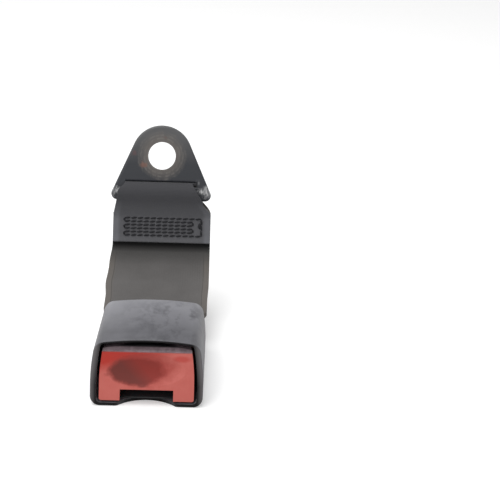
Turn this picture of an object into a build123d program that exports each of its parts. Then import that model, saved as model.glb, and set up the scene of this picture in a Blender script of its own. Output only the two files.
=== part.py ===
from build123d import *

import os
from math import atan, cos, degrees, radians, sin, sqrt, tan

# Seat belt buckle on a short webbing stalk, with the steel plate that bolts it to the car.
# Millimetres. The buckle lies on its lower cover with +Z up. The button faces -Y and the webbing
# leaves to +Y. The origin is the middle of the buckle's underside.

# Housing: the two plastic covers together
housing_margin = -0.15
rear_room = 3.0
roof_room = 9.9
roof_fall = 4.0
crown_rise = 1.9
side_lean = 1.8
side_lean_drop = 18.2
face_setback = 7.5
top_edge_radius = 5.0
bottom_edge_radius = 4.0
rear_edge_radius = 4.2
rim_edge_radius = 0.6
side_wall = 2.0
top_wall = 1.8
floor_wall = 1.4
rear_wall = 2.2
cover_split = 5.8
rim_width = 2.5
rim_top = 0.9
rim_depth = 3.5
rim_corner_radius = 1.8
lip_cutback = 6.0
lip_cut_width = 25.0
lip_blend_radius = 5.0
mouth_side_gap = 0.6
mouth_drop = 5.0
mouth_top_wall = 5.6
mouth_corner_radius = 2.5

# Joint between the covers
lap_height = 1.2
lap_thickness = 1.1
lap_clearance = 0.1
snap_thickness = 1.0
snap_width = 6.0
snap_hook = 0.7
snap_hook_height = 1.5
snap_rise = 3.4
snap_gap = 0.2
snap_setback = 4.0
post_gap = 0.8
post_length = 2.5
rib_length = 12.0
rib_drop = 14.0
rib_height = 1.6

# Steel frame
sheet = 2.0
frame_setback = 12.0
channel_length = 30.0
wall_reach = 4.0
tail_side_gap = 1.4
tail_side_bar = 2.7
tail_corner_radius = 3.0
joggle_length = 5.0
joggle_radius = 2.5
strap_bar_depth = 5.0
strap_bar_z = 10.0
strap_slot_depth = 3.6
bar_edge_radius = 0.9
ear_thickness = 2.0
ear_height = 4.8
shoulder_height = 1.2
bridge_reach = 10.5
bridge_length = 7.0
bridge_sheet = 1.4
bridge_tab_length = 4.0
bridge_tab_proud = 0.8
bridge_overhang = 1.0
slot_end_gap = 0.5

# Latch, pins and their slots
pin_diameter = 3.5
pivot_setback = 2.0
pivot_z = 11.0
latch_lift = 10.0
latch_room = 1.8
latch_plate_gap = 0.25
latch_neck = 2.6
latch_rim = 1.5
release_pin_reach = 13.0
release_pin_drop = 0.8
release_pin_inset = 1.65
claw_width = 11.0
claw_setback = 5.0
claw_thickness = 2.4
claw_window_lead = 1.0
claw_bend_radius = 1.6
clip_diameter = 6.0
clip_thickness = 0.8
clip_opening = 2.6
leaf_thickness = 0.4
leaf_width = 8.0
pin_end = 1.0
pin_chamfer = 0.3

# Button
button_side_gap = 1.2
button_travel = 6.0
button_lift = 0.8
button_recess = 1.0
button_face_thickness = 2.6
button_top_gap = 1.4
button_top_wall = 1.6
button_top_length = 10.0
button_bevel_depth = 3.2
button_bevel_drop = 2.1
button_corner_radius = 0.9
notch_side_gap = 0.35
dish_width = 27.0
dish_height = 11.5
dish_depth = 1.1
dish_drop = 12.2
arm_thickness = 4.85
arm_drop = 2.2
arm_end_gap = 1.0
button_spring_diameter = 2.8
button_spring_drop = 3.0
button_spring_pocket = 9.0
button_spring_turns = 11
spring_wire = 0.45

# Ejector and tongue guide
ejector_side_room = 3.0
ejector_lead = 0.8
ejector_length = 6.8
ejector_top_gap = 0.45
ejector_travel = 6.0
ejector_post_length = 5.0
ejector_post_diameter = 2.2
ejector_key_width = 4.0
ejector_key_length = 3.0
ejector_key_setback = 1.4
ejector_corner_radius = 1.0
ejector_spring_diameter = 4.4
ejector_spring_turns = 8
ejector_tab_width = 7.0
ejector_tab_sheet = 1.5
ejector_tab_proud = 0.5
tongue_thickness = 2.5
tongue_gap = 0.7
guide_width = 21.2
guide_setback = 5.0
guide_cheek = 1.0
guide_cheek_gap = 0.4
guide_nose = 0.6

# Webbing
webbing_width = 46.5
webbing_thickness = 1.3
layer_pitch = 1.5
strap_exit_angle = 12.6
strap_rise_angle = 67.5
strap_lower_run = 42.8
strap_upper_run = 37.7
strap_bend_radius = 18.0
gather_length = 10.5
gather_start = 2.0
gather_depth = 9.0
anchor_loop_inset = 1.3
flare_length = 6.5
flare_radius = 4.0
tucked_end = 9.5
free_end = 23.3

# Anchor plate
anchor_thickness = 2.7
anchor_angle = 72.5
anchor_margin = 0.25
bolt_hole_diameter = 13.0
anchor_top_radius = 14.3
anchor_corner_radius = 2.8
bolt_to_bar = 17.6
anchor_bar_height = 6.8
anchor_edge_radius = 1.1

# Clearances
slide_gap = 0.3
arm_gap = 0.4
turn_gap = 0.08
seat_gap = 0.05

# Widths that follow: the webbing sets the housing's, and that the button's and the frame's
housing_width = webbing_width + 2 * housing_margin
anchor_width = webbing_width + 2 * anchor_margin
inside_half = housing_width / 2 - side_wall
button_width = housing_width - 2 * (rim_width + button_side_gap)
button_half = button_width / 2
arm_in = button_half - arm_thickness
arm_mid = (arm_in + button_half) / 2
frame_width = 2 * (arm_in - arm_gap)
wall_out = frame_width / 2
wall_in = wall_out - sheet
tail_width = 2 * (inside_half - tail_side_gap)
gathered_width = tail_width - 2 * (tail_side_bar + slot_end_gap)
mouth_width = tail_width + 2 * mouth_side_gap
release_pin_half = button_half - release_pin_inset
ejector_width = 2 * (wall_in - ejector_side_room)
notch_width = guide_width + 2 * notch_side_gap
pin_radius = pin_diameter / 2
pocket_radius = button_spring_diameter / 2 + slide_gap - 2 * seat_gap

# Heights that follow, from the floor up
base_mid = floor_wall + sheet / 2
base_top_z = floor_wall + sheet
button_bottom_z = floor_wall + button_lift
notch_top_z = base_top_z + tongue_thickness + tongue_gap
guide_cheek_top_z = notch_top_z - guide_cheek_gap
release_pin_z = pivot_z - release_pin_drop
arm_bottom_z = release_pin_z - arm_drop
ejector_top_z = release_pin_z - pin_radius - ejector_top_gap
ejector_spring_z = base_top_z + ejector_spring_diameter / 2 + slide_gap
ejector_tab_top_z = ejector_spring_z + ejector_spring_diameter / 2 + ejector_tab_proud
latch_plate_z = pivot_z + pin_radius + latch_plate_gap
latch_top_z = latch_plate_z + sheet
wall_top_z = latch_top_z + latch_room
button_spring_z = wall_top_z - button_spring_drop
shoulder_z = wall_top_z + shoulder_height
bridge_top_z = shoulder_z + bridge_sheet
front_height = wall_top_z + roof_room
rear_height = front_height - roof_fall
dish_centre_z = front_height - dish_drop
rib_z = front_height - rib_drop
mouth_bottom = strap_bar_z - mouth_drop
mouth_height = rear_height - mouth_top_wall - mouth_bottom

# Places from front to rear that follow
tail_length = joggle_length + joggle_radius + post_length + strap_bar_depth
housing_length = frame_setback + channel_length + tail_length + rear_room
front_y = -housing_length / 2
rear_y = housing_length / 2
frame_front_y = front_y + frame_setback
guide_front_y = front_y + guide_setback
joggle_start_y = frame_front_y + channel_length
wall_rear_y = joggle_start_y + wall_reach
tail_rear_y = joggle_start_y + tail_length
bar_y = tail_rear_y - strap_bar_depth / 2
pivot_y = joggle_start_y - pivot_setback
release_pin_y = pivot_y - release_pin_reach
claw_front_y = frame_front_y + claw_setback
claw_rear_y = claw_front_y + claw_thickness
latch_front_y = claw_rear_y + latch_neck
ejector_front_y = claw_rear_y + ejector_lead
ejector_tab_y = joggle_start_y - ejector_tab_sheet
arm_rear_y = pivot_y - clip_diameter / 2 - button_travel - arm_end_gap
button_spring_seat_y = arm_rear_y - button_spring_pocket
button_foot_y = front_y + button_recess
bridge_front_y = pivot_y - bridge_reach
snap_front_y = frame_front_y + snap_setback
snap_rear_y = joggle_start_y - snap_width
top_slope = degrees(atan(roof_fall / (housing_length - face_setback)))


def top_plane(lowered):
    """The tilted plane across the housing, at its top front edge, that the crown is drawn on."""
    tilt = radians(top_slope)
    return Plane(
        origin=(0, front_y + face_setback, front_height - lowered),
        x_dir=(1, 0, 0),
        z_dir=(0, -cos(tilt), sin(tilt)),
    )


def crown_drop(x):
    """How far the crown's arc has fallen at the distance x from the middle."""
    radius = (housing_width**2 / 4 + crown_rise**2) / (2 * crown_rise)
    return radius - sqrt(radius**2 - x**2)


def housing_form(side, top, floor, front, rear, top_radius, floor_radius, rear_radius):
    """The housing's smooth outer form, set in by the given amounts on each side."""
    half = housing_width / 2 - side
    reach = 2 * housing_length
    rise = 2 * front_height
    foot = front_y + front
    with BuildPart() as form:
        with BuildSketch(Plane.YZ):
            with BuildLine():
                Polyline(
                    (foot, floor),
                    (rear_y - rear, floor),
                    (rear_y - rear, rise),
                    (foot + face_setback * rise / front_height, rise),
                    close=True,
                )
            make_face()
        extrude(amount=half, both=True)
        with BuildSketch(Plane.XZ) as bottom:
            with Locations((0, floor + rise / 2)):
                Rectangle(2 * half, rise)
            fillet(bottom.vertices().group_by(Axis.Y)[0], floor_radius)
        extrude(amount=reach, both=True, mode=Mode.INTERSECT)
        with BuildSketch(top_plane(top)) as crown:
            with BuildLine():
                shoulder = half - side_lean * (1 - top / side_lean_drop) ** 2
                shoulder_drop = crown_drop(shoulder)
                lean_drop = side_lean_drop - top
                ThreePointArc((-shoulder, -shoulder_drop), (0, 0), (shoulder, -shoulder_drop))
                for side_of in (1, -1):
                    TangentArc(
                        (side_of * half, -lean_drop),
                        (side_of * shoulder, -shoulder_drop),
                        tangent=(0, 1),
                    )
                Polyline((half, -lean_drop), (half, -reach), (-half, -reach), (-half, -lean_drop))
            make_face()
            fillet(crown.vertices().group_by(Axis.Y)[-1], top_radius)
        extrude(amount=reach, both=True, mode=Mode.INTERSECT)
        if rear_radius:
            fillet(form.faces().sort_by(Axis.Y)[-1].edges(), rear_radius)
    return form


def coil_spring(base, length, outside, wire, turns):
    """A compression spring that stands on the point base and runs back along +Y."""
    with BuildPart() as spring:
        with BuildLine() as coil:
            Helix(
                pitch=(length - wire) / turns,
                height=length - wire,
                radius=(outside - wire) / 2,
                center=(base[0], base[1] + wire / 2, base[2]),
                direction=(0, 1, 0),
            )
        with BuildSketch(Plane(origin=coil.line @ 0, z_dir=coil.line % 0)):
            RegularPolygon(wire / 2, 6)
        sweep(is_frenet=True)
    return spring


def side_box(x_from, x_to, y_from, y_to, z_from, z_to, mode=Mode.ADD):
    """A block between the given faces and its mirror image, added to the part being built."""
    for side in (1, -1):
        with Locations((side * (x_from + x_to) / 2, (y_from + y_to) / 2, (z_from + z_to) / 2)):
            Box(x_to - x_from, y_to - y_from, z_to - z_from, mode=mode)


def middle_box(width, y_from, y_to, z_from, z_to, mode=Mode.ADD):
    """A block centred across the buckle, between the given faces."""
    with Locations((0, (y_from + y_to) / 2, (z_from + z_to) / 2)):
        Box(width, y_to - y_from, z_to - z_from, mode=mode)


# Housing: the outer form, the hollow in it, and the opening that the button fills
outer = housing_form(0, 0, 0, 0, 0, top_edge_radius, bottom_edge_radius, rear_edge_radius)
hollow = housing_form(
    side_wall,
    top_wall,
    floor_wall,
    rim_depth,
    rear_wall,
    top_edge_radius - top_wall,
    bottom_edge_radius - side_wall,
    rear_edge_radius - rear_wall,
)
opening = housing_form(
    rim_width,
    rim_top,
    floor_wall,
    -housing_length,
    rear_y - frame_front_y,
    rim_corner_radius,
    rim_corner_radius,
    0,
)


def lap_ring(extra):
    """The lip round the lower cover's edge, or with extra room its groove in the upper cover."""
    with BuildPart() as ring:
        add(
            housing_form(
                side_wall - lap_thickness - extra,
                top_wall,
                floor_wall,
                rim_depth,
                rear_wall - lap_thickness - extra,
                top_edge_radius - top_wall,
                bottom_edge_radius - side_wall + lap_thickness,
                rear_edge_radius - rear_wall + lap_thickness,
            ).part
        )
        add(hollow.part, mode=Mode.SUBTRACT)
        add(opening.part, mode=Mode.SUBTRACT)
        split(bisect_by=Plane.XY.offset(cover_split), keep=Keep.TOP)
        split(bisect_by=Plane.XY.offset(cover_split + lap_height + extra), keep=Keep.BOTTOM)
    return ring


def roof_height(x, y):
    """The height of the middle of the cover's roof above a point of the floor."""
    top = front_height - (y - front_y - face_setback) * tan(radians(top_slope))
    return top - crown_drop(x) - top_wall / 2


def cut_mouth():
    """Cut the rear mouth that the webbing swings in."""
    with BuildSketch(Plane.XZ.offset(-rear_y)) as mouth:
        with Locations((0, mouth_bottom + mouth_height / 2)):
            RectangleRounded(mouth_width, mouth_height, mouth_corner_radius)
    extrude(mouth.sketch, amount=rear_y - bar_y, mode=Mode.SUBTRACT)


# Places inside the housing
snap_out = inside_half - snap_gap
snap_hook_z = cover_split + snap_rise
post_in = gathered_width / 2 + post_gap
post_out = tail_width / 2 - seat_gap
post_front_y = joggle_start_y + joggle_length + joggle_radius
post_rear_y = post_front_y + post_length
post_mid = (post_in + post_out) / 2
tail_bottom_z = strap_bar_z - sheet / 2
tail_top_z = strap_bar_z + sheet / 2

with BuildPart() as upper_cover:
    add(outer.part)
    fillet(upper_cover.faces().sort_by(Axis.Y)[0].edges(), rim_edge_radius)
    add(hollow.part, mode=Mode.SUBTRACT)
    add(opening.part, mode=Mode.SUBTRACT)
    cut_mouth()
    # ribs beside the button, and posts that hold the frame's tail down
    side_box(
        button_half + slide_gap,
        inside_half + seat_gap,
        frame_front_y,
        frame_front_y + rib_length,
        rib_z,
        rib_z + rib_height,
    )
    side_box(post_in, post_out, post_front_y, post_rear_y, tail_top_z, roof_height(post_mid, post_rear_y))
    split(bisect_by=Plane.XY.offset(cover_split), keep=Keep.TOP)
    add(lap_ring(lap_clearance).part, mode=Mode.SUBTRACT)
    for place in (snap_front_y, snap_rear_y):
        side_box(
            snap_out,
            snap_out + snap_hook + snap_gap,
            place - snap_gap,
            place + snap_width + snap_gap,
            snap_hook_z - snap_gap / 2,
            snap_hook_z + snap_hook_height + snap_gap,
            mode=Mode.SUBTRACT,
        )
upper_cover.part.label = "upper_cover"

with BuildPart() as lower_cover:
    add(outer.part)
    fillet(lower_cover.faces().sort_by(Axis.Y)[0].edges(), rim_edge_radius)
    add(hollow.part, mode=Mode.SUBTRACT)
    add(opening.part, mode=Mode.SUBTRACT)
    split(bisect_by=Plane.XY.offset(cover_split), keep=Keep.BOTTOM)
    add(lap_ring(0).part)
    cut_mouth()
    # the front lip sweeps back in the middle, under the tongue's way in
    with BuildSketch(Plane.XY) as lip_cut:
        lip_radius = (lip_cut_width**2 / 4 + lip_cutback**2) / (2 * lip_cutback)
        with Locations((0, front_y + lip_cutback - lip_radius)):
            Circle(lip_radius)
        with Locations((0, front_y - housing_length / 2)):
            Rectangle(2 * housing_width, housing_length)
        corners = lip_cut.vertices().filter_by_position(Axis.Y, front_y - 0.01, front_y + 0.01)
        fillet(corners.filter_by_position(Axis.X, -lip_cut_width, lip_cut_width), lip_blend_radius)
    extrude(amount=cover_split, mode=Mode.SUBTRACT)
    # ribs that carry the frame's raised tail
    side_box(post_in, post_out, post_front_y, post_rear_y, floor_wall / 2, tail_bottom_z)
    for place in (snap_front_y, snap_rear_y):
        side_box(snap_out - snap_thickness, snap_out, place, place + snap_width, floor_wall, snap_hook_z)
        with BuildSketch(Plane.XZ.offset(-place)):
            with BuildLine():
                Polyline(
                    (snap_out - snap_thickness, snap_hook_z),
                    (snap_out + snap_hook, snap_hook_z),
                    (snap_out, snap_hook_z + snap_hook_height),
                    (snap_out - snap_thickness, snap_hook_z + snap_hook_height),
                    close=True,
                )
            make_face()
            mirror(about=Plane.YZ)
        extrude(amount=-snap_width)
lower_cover.part.label = "lower_cover"

# Steel frame: a bent channel with a raised tail that carries the webbing bar
slot_front_y = post_rear_y - strap_slot_depth
bridge_tab_y = bridge_front_y + (bridge_length - bridge_tab_length) / 2
key_front_y = ejector_front_y + ejector_key_setback

with BuildPart() as buckle_frame:
    with BuildSketch(Plane.YZ):
        with BuildLine():
            FilletPolyline(
                (frame_front_y, base_mid),
                (joggle_start_y, base_mid),
                (joggle_start_y + joggle_length, strap_bar_z),
                (tail_rear_y, strap_bar_z),
                radius=joggle_radius,
            )
        trace(line_width=sheet)
    extrude(amount=tail_width / 2, both=True)
    with BuildSketch(Plane.XY) as blank:
        with BuildLine():
            Polyline(
                (0, frame_front_y),
                (wall_out, frame_front_y),
                (wall_out, joggle_start_y),
                (tail_width / 2, joggle_start_y + joggle_length),
                (tail_width / 2, tail_rear_y),
                (0, tail_rear_y),
                close=True,
            )
        make_face()
        fillet(blank.vertices().group_by(Axis.Y)[-1].sort_by(Axis.X)[-1], tail_corner_radius)
        mirror(about=Plane.YZ)
        with Locations((0, slot_front_y + strap_bar_depth)):
            Rectangle(gathered_width + 2 * slot_end_gap, 2 * strap_bar_depth, mode=Mode.SUBTRACT)
        with Locations((0, (claw_front_y + claw_rear_y) / 2 - claw_window_lead / 2)):
            Rectangle(
                claw_width + 4 * slide_gap,
                claw_thickness + claw_window_lead + 2 * slide_gap,
                mode=Mode.SUBTRACT,
            )
        with Locations((0, key_front_y + (ejector_key_length + ejector_travel) / 2)):
            Rectangle(
                ejector_key_width + 2 * slide_gap,
                ejector_key_length + ejector_travel + 2 * slide_gap,
                mode=Mode.SUBTRACT,
            )
    extrude(amount=strap_bar_z + sheet, mode=Mode.INTERSECT)
    # side walls, with the shoulders and tabs that the bridge sits on
    with BuildSketch(Plane.YZ.offset(wall_in)):
        with BuildLine():
            Polyline(
                (frame_front_y, floor_wall),
                (joggle_start_y, floor_wall),
                (wall_rear_y, strap_bar_z),
                (wall_rear_y, wall_top_z),
                (frame_front_y + face_setback * wall_top_z / front_height, wall_top_z),
                close=True,
            )
        make_face()
        with Locations((bridge_front_y + bridge_length / 2, wall_top_z + shoulder_height / 2)):
            Rectangle(bridge_length, shoulder_height)
        tab_rise = bridge_sheet + bridge_tab_proud
        with Locations((bridge_tab_y + bridge_tab_length / 2, shoulder_z + tab_rise / 2)):
            Rectangle(bridge_tab_length, tab_rise)
        with Locations((pivot_y, pivot_z)):
            Circle(pin_radius + seat_gap, mode=Mode.SUBTRACT)
        with Locations((release_pin_y + button_travel / 2, release_pin_z)):
            SlotCenterToCenter(button_travel, pin_diameter + 2 * slide_gap, mode=Mode.SUBTRACT)
    extrude(amount=sheet)
    mirror(about=Plane.YZ)
    side_box(
        wall_in, button_half, wall_rear_y - ear_thickness, wall_rear_y, wall_top_z - ear_height, wall_top_z
    )
    ejector_tab_rear_y = ejector_tab_y + ejector_tab_sheet
    middle_box(ejector_tab_width, ejector_tab_y, ejector_tab_rear_y, base_mid, ejector_tab_top_z)
    # the webbing's bar has rounded edges
    with BuildSketch(Plane.YZ):
        with Locations((bar_y, strap_bar_z)):
            RectangleRounded(strap_bar_depth, sheet, bar_edge_radius)
    extrude(amount=gathered_width / 2 + 2 * slot_end_gap, both=True)
buckle_frame.part.label = "buckle_frame"

with BuildPart() as spring_bridge:
    bridge_width = frame_width + 2 * bridge_overhang
    middle_box(bridge_width, bridge_front_y, bridge_front_y + bridge_length, shoulder_z, bridge_top_z)
    fillet(spring_bridge.edges().filter_by(Axis.Z), bridge_overhang)
    side_box(
        wall_in - seat_gap,
        wall_out + seat_gap,
        bridge_tab_y - seat_gap,
        bridge_tab_y + bridge_tab_length + seat_gap,
        shoulder_z,
        bridge_top_z,
        mode=Mode.SUBTRACT,
    )
spring_bridge.part.label = "spring_bridge"


# Latch: it turns on the pivot pin and the release pin lifts it along its cam slots
latch_half = wall_in - slide_gap
latch_rear_y = pivot_y + pin_radius + latch_rim
lift = radians(latch_lift)
cam_reach = release_pin_y + button_travel - pivot_y
cam_drop = release_pin_z - pivot_z
cam_end = (
    pivot_y + cam_reach * cos(lift) - cam_drop * sin(lift),
    pivot_z + cam_reach * sin(lift) + cam_drop * cos(lift),
)

with BuildPart() as latch:
    with BuildSketch(Plane.YZ.offset(latch_half - sheet)):
        with Locations((release_pin_y, release_pin_z), cam_end, (pivot_y, pivot_z)):
            Circle(pin_radius + latch_rim)
        with Locations(((latch_front_y + latch_rear_y) / 2, (latch_plate_z + latch_top_z) / 2)):
            Rectangle(latch_rear_y - latch_front_y, sheet)
        make_hull()
        SlotCenterPoint(
            ((release_pin_y + cam_end[0]) / 2, (release_pin_z + cam_end[1]) / 2),
            cam_end,
            pin_diameter + 2 * slide_gap,
            mode=Mode.SUBTRACT,
        )
        with Locations((pivot_y, pivot_z)):
            Circle(pin_radius + turn_gap, mode=Mode.SUBTRACT)
    extrude(amount=sheet)
    mirror(about=Plane.YZ)
    middle_box(2 * latch_half, latch_front_y, latch_rear_y, latch_plate_z, latch_top_z)
    middle_box(claw_width, claw_front_y, latch_front_y + sheet, latch_plate_z, latch_top_z)
    # the claw is bent down through the tongue's way, with a ramp that the tongue lifts
    with BuildSketch(Plane.YZ):
        with BuildLine():
            Polyline(
                (claw_front_y, latch_top_z),
                (claw_front_y, base_top_z + tongue_thickness),
                (claw_front_y + claw_thickness / 2, base_mid),
                (claw_rear_y, base_mid),
                (claw_rear_y, latch_top_z),
                close=True,
            )
        make_face()
    extrude(amount=claw_width / 2, both=True)
    fillet(
        latch.edges().filter_by(Axis.X).group_by(Axis.Z)[-1].sort_by(Axis.Y)[0],
        claw_bend_radius,
    )
latch.part.label = "latch"

with BuildPart() as latch_pivot_pin:
    with BuildSketch(Plane.YZ.offset(-wall_out - pin_end)):
        with Locations((pivot_y, pivot_z)):
            Circle(pin_radius)
    extrude(amount=2 * (wall_out + pin_end))
    chamfer(latch_pivot_pin.edges().filter_by(GeomType.CIRCLE), pin_chamfer)
latch_pivot_pin.part.label = "latch_pivot_pin"

# A clip on each end holds the pivot pin in the frame's walls
pivot_clips = []
clip_face = wall_out + seat_gap
for face_x, name in ((-clip_face - clip_thickness, "pivot_clip_left"), (clip_face, "pivot_clip_right")):
    with BuildPart() as pivot_clip:
        with BuildSketch(Plane.YZ.offset(face_x)):
            with Locations((pivot_y, pivot_z)):
                Circle(clip_diameter / 2)
                Circle(pin_radius + seat_gap, mode=Mode.SUBTRACT)
            with Locations((pivot_y, pivot_z - clip_diameter / 4 - pin_radius / 2)):
                Rectangle(clip_opening, clip_diameter / 2, mode=Mode.SUBTRACT)
        extrude(amount=clip_thickness)
    pivot_clip.part.label = name
    pivot_clips.append(pivot_clip.part)

# A bowed leaf between the bridge and the latch keeps the claw down
with BuildPart() as latch_spring:
    with BuildSketch(Plane.YZ):
        with BuildLine():
            leaf_end_z = shoulder_z - leaf_thickness
            ThreePointArc(
                (bridge_front_y + leaf_thickness, leaf_end_z),
                (bridge_front_y + bridge_length / 2, latch_top_z + leaf_thickness / 2 + seat_gap),
                (bridge_front_y + bridge_length - leaf_thickness, leaf_end_z),
            )
        trace(line_width=leaf_thickness)
    extrude(amount=leaf_width / 2, both=True)
latch_spring.part.label = "latch_spring"

# Push button: a dished face with a notch for the tongue and an arm down each side of the frame
face_lean = degrees(atan(face_setback / front_height))
button_top = housing_form(
    (housing_width - button_width) / 2,
    top_wall + button_top_gap,
    button_bottom_z,
    button_recess,
    rear_y - arm_rear_y,
    button_corner_radius,
    button_corner_radius,
    0,
)
face_plane = Plane(
    origin=(0, button_foot_y + face_setback * dish_centre_z / front_height, dish_centre_z),
    x_dir=(1, 0, 0),
    z_dir=(0, -cos(radians(face_lean)), sin(radians(face_lean))),
)
across_radius = (dish_width**2 / 4 + dish_depth**2) / (2 * dish_depth)
upright_radius = (dish_height**2 / 4 + dish_depth**2) / (2 * dish_depth)

with BuildPart() as button_inside:
    middle_box(button_width, front_y, rear_y, 0, front_height - top_wall - button_top_gap - button_top_wall)
    with BuildSketch(Plane.YZ):
        with BuildLine():
            back_foot = button_foot_y + button_face_thickness
            Polyline(
                (back_foot, 0),
                (back_foot + housing_length, 0),
                (back_foot + housing_length + face_setback, front_height),
                (back_foot + face_setback, front_height),
                close=True,
            )
        make_face()
    extrude(amount=housing_width, both=True, mode=Mode.INTERSECT)

with BuildPart() as push_button:
    add(button_top.part)
    add(button_inside.part, mode=Mode.SUBTRACT)
    top_rear_y = button_foot_y + face_setback + button_top_length
    split(bisect_by=Plane.XZ.offset(-top_rear_y), keep=Keep.TOP)
    side_box(arm_in, button_half, front_y, arm_rear_y, arm_bottom_z, wall_top_z)
    add(button_top.part, mode=Mode.INTERSECT)
    middle_box(notch_width, front_y, rear_y, 0, notch_top_z, mode=Mode.SUBTRACT)
    # the upper edge of the face is bevelled back
    with BuildSketch(Plane.YZ):
        with BuildLine():
            bevel_z = front_height - top_wall - button_top_gap - button_bevel_drop
            bevel_y = button_foot_y + face_setback * bevel_z / front_height
            Polyline(
                (bevel_y, bevel_z),
                (bevel_y + button_bevel_depth, bevel_z + button_bevel_drop),
                (bevel_y + button_bevel_depth, front_height),
                (front_y, front_height),
                (front_y, bevel_z),
                close=True,
            )
        make_face()
    extrude(amount=button_width, both=True, mode=Mode.SUBTRACT)
    # the thumb dish
    with BuildSketch(Plane(origin=face_plane.origin, x_dir=face_plane.z_dir, z_dir=(1, 0, 0))):
        with Locations((upright_radius - dish_depth, 0)):
            Circle(upright_radius)
    revolve(
        axis=Axis(face_plane.origin + face_plane.z_dir * (across_radius - dish_depth), face_plane.y_dir),
        revolution_arc=360,
        mode=Mode.SUBTRACT,
    )
    for side in (1, -1):
        with Locations(Location((side * arm_mid, arm_rear_y, button_spring_z), (90, 0, 0))):
            Cylinder(pocket_radius, 2 * (arm_rear_y - button_spring_seat_y), mode=Mode.SUBTRACT)
    with Locations(Location((0, release_pin_y, release_pin_z), (0, 90, 0))):
        Cylinder(pin_radius + seat_gap, 2 * release_pin_half, mode=Mode.SUBTRACT)
push_button.part.label = "push_button"

with BuildPart() as release_pin:
    with BuildSketch(Plane.YZ.offset(-release_pin_half + seat_gap)):
        with Locations((release_pin_y, release_pin_z)):
            Circle(pin_radius)
    extrude(amount=2 * (release_pin_half - seat_gap))
    chamfer(release_pin.edges().filter_by(GeomType.CIRCLE), pin_chamfer)
release_pin.part.label = "release_pin"

button_spring_length = wall_rear_y - ear_thickness - button_spring_seat_y - 2 * seat_gap
button_springs = []
for side, name in ((-1, "button_spring_left"), (1, "button_spring_right")):
    spring_base = (side * arm_mid, button_spring_seat_y + seat_gap, button_spring_z)
    button_spring = coil_spring(
        spring_base, button_spring_length, button_spring_diameter, spring_wire, button_spring_turns
    )
    button_spring.part.label = name
    button_springs.append(button_spring.part)

# Ejector: a slider on the frame's base with a post for its spring and a key in the base's slot
ejector_rear_y = ejector_front_y + ejector_length
ejector_bottom_z = base_top_z + slide_gap / 2

with BuildPart() as ejector:
    middle_box(ejector_width, ejector_front_y, ejector_rear_y, ejector_bottom_z, ejector_top_z)
    fillet(ejector.edges().filter_by(Axis.Z), ejector_corner_radius)
    middle_box(
        ejector_key_width,
        key_front_y,
        key_front_y + ejector_key_length,
        floor_wall + slide_gap,
        ejector_bottom_z + seat_gap,
    )
    with BuildSketch(Plane.XZ.offset(-ejector_rear_y)):
        with Locations((0, ejector_spring_z)):
            Circle(ejector_post_diameter / 2)
    extrude(amount=-ejector_post_length)
ejector.part.label = "ejector"

ejector_spring = coil_spring(
    (0, ejector_rear_y + seat_gap, ejector_spring_z),
    ejector_tab_y - ejector_rear_y - 2 * seat_gap,
    ejector_spring_diameter,
    spring_wire,
    ejector_spring_turns,
)
ejector_spring.part.label = "ejector_spring"

# Tongue guide: a ramp and two cheeks in front of the frame, between the button's legs
guide_ramp_y = (guide_front_y + frame_front_y) / 2

with BuildPart() as tongue_guide:
    middle_box(guide_width, guide_front_y, frame_front_y, floor_wall, base_top_z)
    side_box(
        guide_width / 2 - guide_cheek,
        guide_width / 2,
        guide_front_y,
        frame_front_y,
        floor_wall,
        guide_cheek_top_z,
    )
    with BuildSketch(Plane.YZ):
        with BuildLine():
            Polyline(
                (guide_front_y, floor_wall + guide_nose),
                (guide_ramp_y, base_top_z),
                (guide_ramp_y, guide_cheek_top_z),
                (guide_front_y, guide_cheek_top_z),
                close=True,
            )
        make_face()
    extrude(amount=guide_width, both=True, mode=Mode.SUBTRACT)
tongue_guide.part.label = "tongue_guide"

# Webbing: one strip that runs round both bars, drawn from the side along its two straight legs
exit_angle = radians(strap_exit_angle)
rise_angle = radians(strap_rise_angle)
bend_y = bar_y + strap_lower_run * cos(exit_angle)
bend_z = strap_bar_z + strap_lower_run * sin(exit_angle)
anchor_bar_y = bend_y + strap_upper_run * cos(rise_angle)
anchor_bar_z = bend_z + strap_upper_run * sin(rise_angle)
frame_loop = strap_bar_depth / 2 + slide_gap + webbing_thickness / 2
anchor_loop = anchor_bar_height / 2 + slide_gap + webbing_thickness / 2
layer = layer_pitch / 2
half_turn = (rise_angle - exit_angle) / 2


def lower_leg(along, above):
    """A point of the lower leg, from the frame's bar towards the bend."""
    return (
        bar_y + along * cos(exit_angle) - above * sin(exit_angle),
        strap_bar_z + along * sin(exit_angle) + above * cos(exit_angle),
    )


def upper_leg(below, before):
    """A point of the upper leg, down from the anchor's bar, with before counted to the front."""
    return (
        anchor_bar_y - below * cos(rise_angle) - before * sin(rise_angle),
        anchor_bar_z - below * sin(rise_angle) + before * cos(rise_angle),
    )


def bend_corner(above):
    """The corner where a layer's two straight legs meet."""
    return lower_leg(strap_lower_run - above * tan(half_turn), above)


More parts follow.
